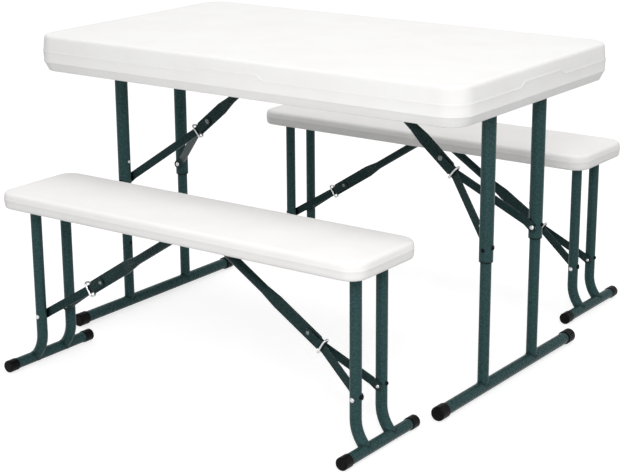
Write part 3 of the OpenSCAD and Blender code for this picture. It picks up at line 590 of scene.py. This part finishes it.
# Bench pivot rivets: a domed, plated head with a thin collar on each leg's outer face,
# the outer end of the rivet that a strap of the brace turns on.
rivet_heads = bpy.data.node_groups.new("Rivet heads", "GeometryNodeTree")
tree_input(rivet_heads, "Places", "NodeSocketGeometry", None)
tree_input(rivet_heads, "Head Radius", "NodeSocketFloat", 0.005)
tree_input(rivet_heads, "Head Height", "NodeSocketFloat", 0.003)
tree_input(rivet_heads, "Finish", "NodeSocketMaterial", None)
rivet_heads.interface.new_socket("Geometry", in_out="OUTPUT", socket_type="NodeSocketGeometry")
head_in = rivet_heads.nodes.new("NodeGroupInput").outputs
ball = joined(rivet_heads, "GeometryNodeMeshUVSphere", {"Segments": 24, "Rings": 12, "Radius": 1.0})
radius = head_in["Head Radius"]
head_size = joined(rivet_heads, "ShaderNodeCombineXYZ", {0: radius, 1: head_in["Head Height"], 2: radius})
head = joined(rivet_heads, "GeometryNodeTransform",
              {"Geometry": ball.outputs["Mesh"], "Scale": head_size.outputs[0]})
collar_share = 1.18
collar_depth = 0.0022
collar_radius = number_node(rivet_heads, "MULTIPLY", radius, collar_share)
collar = joined(rivet_heads, "GeometryNodeMeshCylinder",
                {"Vertices": 24, "Radius": collar_radius, "Depth": collar_depth})
collar = joined(rivet_heads, "GeometryNodeTransform",
                {"Geometry": collar.outputs["Mesh"], "Rotation": (math.radians(90), 0.0, 0.0)})
both = rivet_heads.nodes.new("GeometryNodeJoinGeometry")
rivet_heads.links.new(head.outputs[0], both.inputs[0])
rivet_heads.links.new(collar.outputs[0], both.inputs[0])
set_out = joined(rivet_heads, "GeometryNodeInstanceOnPoints",
                 {"Points": head_in["Places"], "Instance": both.outputs[0]})
plain_mesh(rivet_heads, set_out.outputs[0], head_in["Finish"])
pivot_height = 0.1205
pivot_reach = 0.0603        # from a leg frame's middle to each leg's outer face
for bench in ("front_bench", "rear_bench"):
    for side in ("left", "right"):
        x, y, _ = joint_places[f"{bench}_{side}_leg_fold"]
        name = f"{bench}_{side}_pivot_rivets"
        places = at_legs(name + "_places", x, y, pivot_height, pivot_reach)
        piece = grown(name, rivet_heads,
                      {"Head Radius": 0.0044, "Head Height": 0.0031, "Finish": zinc_plate}, places)
        piece.data.shade_smooth()
        piece.data.set_sharp_from_angle(angle=math.radians(40))
        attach(piece, f"{bench}_{side}_legs")

# Black mouldings: caps pressed on the foot bars, guide rings in the upper tubes
# and the bumpers that stand on the legs' outboard sides.
def black_moulding(name, colour, scuffed, roughness):
    """Black plastic with a fine grain, paler and duller where it is scuffed."""
    material, tree, shader, place = fresh_material(name)
    scuffs = map_node(tree, noise_node(tree, place, 90.0, 5.0, 0.7), 0.52, 0.75)
    tree.links.new(blend_node(tree, scuffs, colour, scuffed), shader.inputs["Base Color"])
    tree.links.new(map_node(tree, scuffs, 0.0, 1.0, roughness, roughness + 0.2), shader.inputs["Roughness"])
    shader.inputs["Specular IOR Level"].default_value = 0.08
    grain = grain_node(tree, place, 900.0)
    tree.links.new(bump_node(tree, grain["Height"], 0.00008), shader.inputs["Normal"])
    return material


cap_black = black_moulding("Black cap", (0.002, 0.002, 0.0024, 1), (0.008, 0.008, 0.008, 1), 0.4)
finish_nodes(("_caps", "leg_bumpers", "leg_bushes"), cap_black)

# Studio floor: a wide, matt, pale sheet just under the feet, which glows to the eye only,
# so that it looks white and keeps the table's shadow.
floor_half = 9
floor_z = -0.0005
floor_corners = [(x * floor_half, y * floor_half, floor_z) for x, y in ((-1, -1), (1, -1), (1, 1), (-1, 1))]
floor_mesh = bpy.data.meshes.new("floor")
floor_mesh.from_pydata(floor_corners, [], [(0, 1, 2, 3)])
floor = bpy.data.objects.new("floor", floor_mesh)
bpy.context.scene.collection.objects.link(floor)


def looked_at(tree):
    """1 for a ray from the camera, also by way of a glossy or a clear surface, and 0 for light."""
    rays = tree.nodes.new("ShaderNodeLightPath").outputs
    by_way = number_node(tree, "MAXIMUM", rays["Is Glossy Ray"], rays["Is Transmission Ray"])
    return number_node(tree, "MAXIMUM", rays["Is Camera Ray"], by_way)


floor_paint = bpy.data.materials.new("Pale floor")
floor_paint.use_nodes = True
floor_tree = floor_paint.node_tree
floor_shader = floor_tree.nodes["Principled BSDF"]
floor_shader.inputs["Base Color"].default_value = (0.5, 0.5, 0.5, 1)
floor_shader.inputs["Roughness"].default_value = 0.9
floor_glow = 0.7
glow = floor_tree.nodes.new("ShaderNodeEmission")
glow_strength = number_node(floor_tree, "MULTIPLY", looked_at(floor_tree), floor_glow)
floor_tree.links.new(glow_strength, glow.inputs["Strength"])
lit_and_glowing = floor_tree.nodes.new("ShaderNodeAddShader")
floor_tree.links.new(floor_shader.outputs[0], lit_and_glowing.inputs[0])
floor_tree.links.new(glow.outputs[0], lit_and_glowing.inputs[1])
floor_tree.links.new(lit_and_glowing.outputs[0], floor_tree.nodes["Material Output"].inputs["Surface"])
floor_mesh.materials.append(floor_paint)
floor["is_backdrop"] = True

# Studio room and lamps: an even white room that is dimmer as light than it looks,
# with one large lamp overhead, one in front, a low one and one at the right end.
room_light = 0.58
room = bpy.data.worlds.new("Room")
bpy.context.scene.world = room
room.use_nodes = True
air = room.node_tree.nodes["Background"]
air.inputs["Color"].default_value = (1, 1, 1, 1)
sight = looked_at(room.node_tree)
room_strength = number_node(room.node_tree, "MULTIPLY_ADD", sight, 1 - room_light, room_light)
room.node_tree.links.new(room_strength, air.inputs["Strength"])


def soft_lamp(name, place, size, power):
    """A square lamp that points at the middle of the set."""
    target = Vector((0, 0, 0.4))
    data = bpy.data.lights.new(name, "AREA")
    data.energy = power
    data.shape = "SQUARE"
    data.size = size
    lamp = bpy.data.objects.new(name, data)
    bpy.context.scene.collection.objects.link(lamp)
    lamp.location = place
    lamp.rotation_euler = (target - Vector(place)).to_track_quat("-Z", "Y").to_euler()


soft_lamp("key lamp", (-0.3, 0.5, 3.9), 1.8, 40)
soft_lamp("front lamp", (2.0, -2.7, 2.1), 1.0, 47)
soft_lamp("low lamp", (0.5, -3.2, 0.45), 1.0, 6)
soft_lamp("side lamp", (3.6, 0.2, 1.2), 1.4, 7)

# Camera: a long lens at chest height, off the front right corner, tipped down at the set.
turn_angle = math.radians(36.0957)
tip_angle = math.radians(16.4928)
roll_angle = math.radians(-0.4032)
camera_place = Vector((2.2259, -3.1149, 1.3788))
back = Vector((math.sin(turn_angle) * math.cos(tip_angle), -math.cos(turn_angle) * math.cos(tip_angle),
               math.sin(tip_angle)))
level_right = Vector((math.cos(turn_angle), math.sin(turn_angle), 0))
level_up = back.cross(level_right)
right = level_right * math.cos(roll_angle) + level_up * math.sin(roll_angle)
up = level_up * math.cos(roll_angle) - level_right * math.sin(roll_angle)
camera_data = bpy.data.cameras.new("camera")
camera_data.lens = 94.5
camera_data.sensor_width = 36
camera_data.clip_end = 60
camera = bpy.data.objects.new("camera", camera_data)
bpy.context.scene.collection.objects.link(camera)
camera.matrix_world = Matrix((
    (right.x, up.x, back.x, camera_place.x),
    (right.y, up.y, back.y, camera_place.y),
    (right.z, up.z, back.z, camera_place.z),
    (0, 0, 0, 1)))
bpy.context.scene.camera = camera
bpy.context.scene.view_settings.view_transform = "Standard"

low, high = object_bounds()
